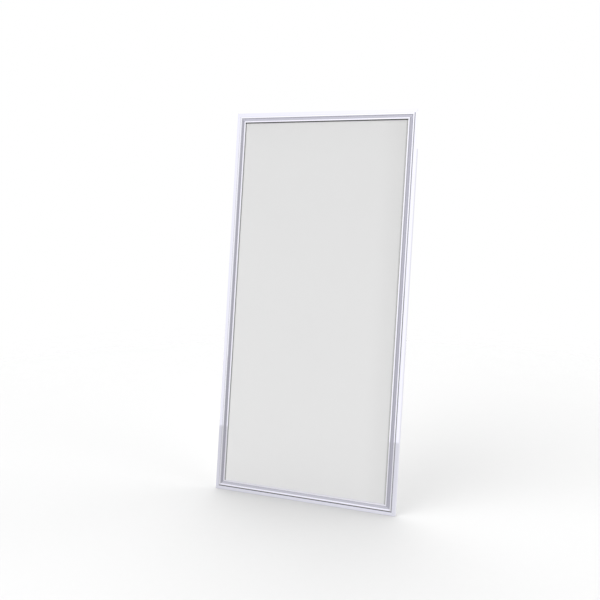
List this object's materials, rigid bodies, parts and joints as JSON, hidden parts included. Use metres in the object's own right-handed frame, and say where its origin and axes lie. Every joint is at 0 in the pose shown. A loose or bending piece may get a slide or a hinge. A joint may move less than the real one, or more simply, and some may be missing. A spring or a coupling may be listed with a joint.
{
  "type": "led panel light",
  "caption": "Edge-lit rectangular ceiling panel light: stepped aluminium frame, opal diffuser, driver box with a hinged wiring door on the back, and swing-out grid clips.",
  "frame": {"origin": "centre of the back plane, midway between the four suspension nuts", "axes": "+Z along the long side, +Y out of the back, so the light-emitting front faces -Y; +X across the width"},
  "size_m": [0.595, 0.0453, 1.195],
  "materials": {
    "frame_aluminium": "bright anodised with a lilac tint",
    "key_zinc": "die cast, satin",
    "zinc_plated_steel": "zinc plated",
    "white_painted_plate": "satin white powder coat",
    "foam": "closed-cell foam, matte",
    "reflector_film": "matte white film",
    "clear_acrylic": "polished, with a printed dot pattern on its back",
    "opal_diffuser": "fine matt texture",
    "white_circuit_board": "white solder mask",
    "led_phosphor": "yellow phosphor in a white body",
    "thermal_tape": "matte",
    "red_lead": "satin insulation",
    "white_plastic": "satin",
    "galvanised_steel": "galvanised, satin",
    "white_painted_box": "satin white powder coat",
    "fish_paper": "matte",
    "green_circuit_board": "green solder mask",
    "orange_plastic": "satin",
    "yellow_plastic": "satin",
    "ferrite": "matte",
    "copper_winding": "enamelled wire on a dark ring",
    "capacitor_sleeve": "shrink sleeve",
    "bare_aluminium": "extruded, satin",
    "black_plastic": "fine matt",
    "winding_tape": "polyester tape",
    "grommet_rubber": "matte",
    "brass": "satin"
  },
  "bodies": {
    "root": {"rail_left": "frame_aluminium", "rail_right": "frame_aluminium", "rail_top": "frame_aluminium", "rail_bottom": "frame_aluminium", "corner_key_top_left": "key_zinc", "corner_key_top_right": "key_zinc", "corner_key_bottom_left": "key_zinc", "corner_key_bottom_right": "key_zinc", "corner_screws": "zinc_plated_steel", "back_plate_screws": "zinc_plated_steel", "suspension_nuts": "zinc_plated_steel", "clip_rivets": "zinc_plated_steel", "lid_screws": "zinc_plated_steel", "tray_screws": "zinc_plated_steel", "hinge_pin": "zinc_plated_steel", "pcb_screws": "zinc_plated_steel", "back_plate": "white_painted_plate", "foam_pad": "foam", "reflector_sheet": "reflector_film", "edge_tapes": "reflector_film", "light_guide": "clear_acrylic", "diffuser": "opal_diffuser", "led_board_left": "white_circuit_board", "led_board_right": "white_circuit_board", "led_chips_left": "led_phosphor", "led_chips_right": "led_phosphor", "thermal_tape_left": "thermal_tape", "thermal_tape_right": "thermal_tape", "led_lead_left": "red_lead", "led_lead_right": "red_lead", "lead_junction": "white_plastic", "terminal_block": "white_plastic", "output_connector": "white_plastic", "output_lead": "white_plastic", "driver_tray": "galvanised_steel", "driver_partition": "galvanised_steel", "driver_lid": "white_painted_box", "insulation_sheet": "fish_paper", "driver_pcb": "green_circuit_board", "suppression_capacitor": "yellow_plastic", "transformer_core": "ferrite", "input_choke": "copper_winding", "bulk_capacitor": "capacitor_sleeve", "output_capacitors": "capacitor_sleeve", "heat_sink": "bare_aluminium", "power_transistor": "black_plastic", "mains_gland": "black_plastic", "gland_dome_nut": "black_plastic", "gland_locknut": "black_plastic", "transformer_winding": "winding_tape", "grommets": "grommet_rubber", "earth_terminal": "brass"},
    "wiring_door_body": {"wiring_door": "white_painted_box"},
    "lever_line_body": {"terminal_lever_line": "orange_plastic"},
    "lever_earth_body": {"terminal_lever_earth": "orange_plastic"},
    "lever_neutral_body": {"terminal_lever_neutral": "orange_plastic"},
    "clip_top_left_body": {"grid_clip_top_left": "galvanised_steel"},
    "clip_top_right_body": {"grid_clip_top_right": "galvanised_steel"},
    "clip_bottom_left_body": {"grid_clip_bottom_left": "galvanised_steel"},
    "clip_bottom_right_body": {"grid_clip_bottom_right": "galvanised_steel"}
  },
  "joints": [
    {"name": "wiring_door_hinge", "type": "hinge", "parent": "root", "child": "wiring_door_body", "pos_m": [-0.0446, 0.0274, 0.325], "axis": [0, 0, 1], "range_deg": [0, 110]},
    {"name": "lever_line_hinge", "type": "hinge", "parent": "root", "child": "lever_line_body", "pos_m": [-0.0075, 0.0144, 0.357], "axis": [1, 0, 0], "range_deg": [0, 85]},
    {"name": "lever_earth_hinge", "type": "hinge", "parent": "root", "child": "lever_earth_body", "pos_m": [0, 0.0144, 0.357], "axis": [1, 0, 0], "range_deg": [0, 85]},
    {"name": "lever_neutral_hinge", "type": "hinge", "parent": "root", "child": "lever_neutral_body", "pos_m": [0.0075, 0.0144, 0.357], "axis": [1, 0, 0], "range_deg": [0, 85]},
    {"name": "clip_top_left_pivot", "type": "hinge", "parent": "root", "child": "clip_top_left_body", "pos_m": [-0.272, 0, 0.48], "axis": [0, 1, 0], "range_deg": [0, 90]},
    {"name": "clip_top_right_pivot", "type": "hinge", "parent": "root", "child": "clip_top_right_body", "pos_m": [0.272, 0, 0.48], "axis": [0, -1, 0], "range_deg": [0, 90]},
    {"name": "clip_bottom_left_pivot", "type": "hinge", "parent": "root", "child": "clip_bottom_left_body", "pos_m": [-0.272, 0, -0.48], "axis": [0, -1, 0], "range_deg": [0, 90]},
    {"name": "clip_bottom_right_pivot", "type": "hinge", "parent": "root", "child": "clip_bottom_right_body", "pos_m": [0.272, 0, -0.48], "axis": [0, 1, 0], "range_deg": [0, 90]}
  ]
}
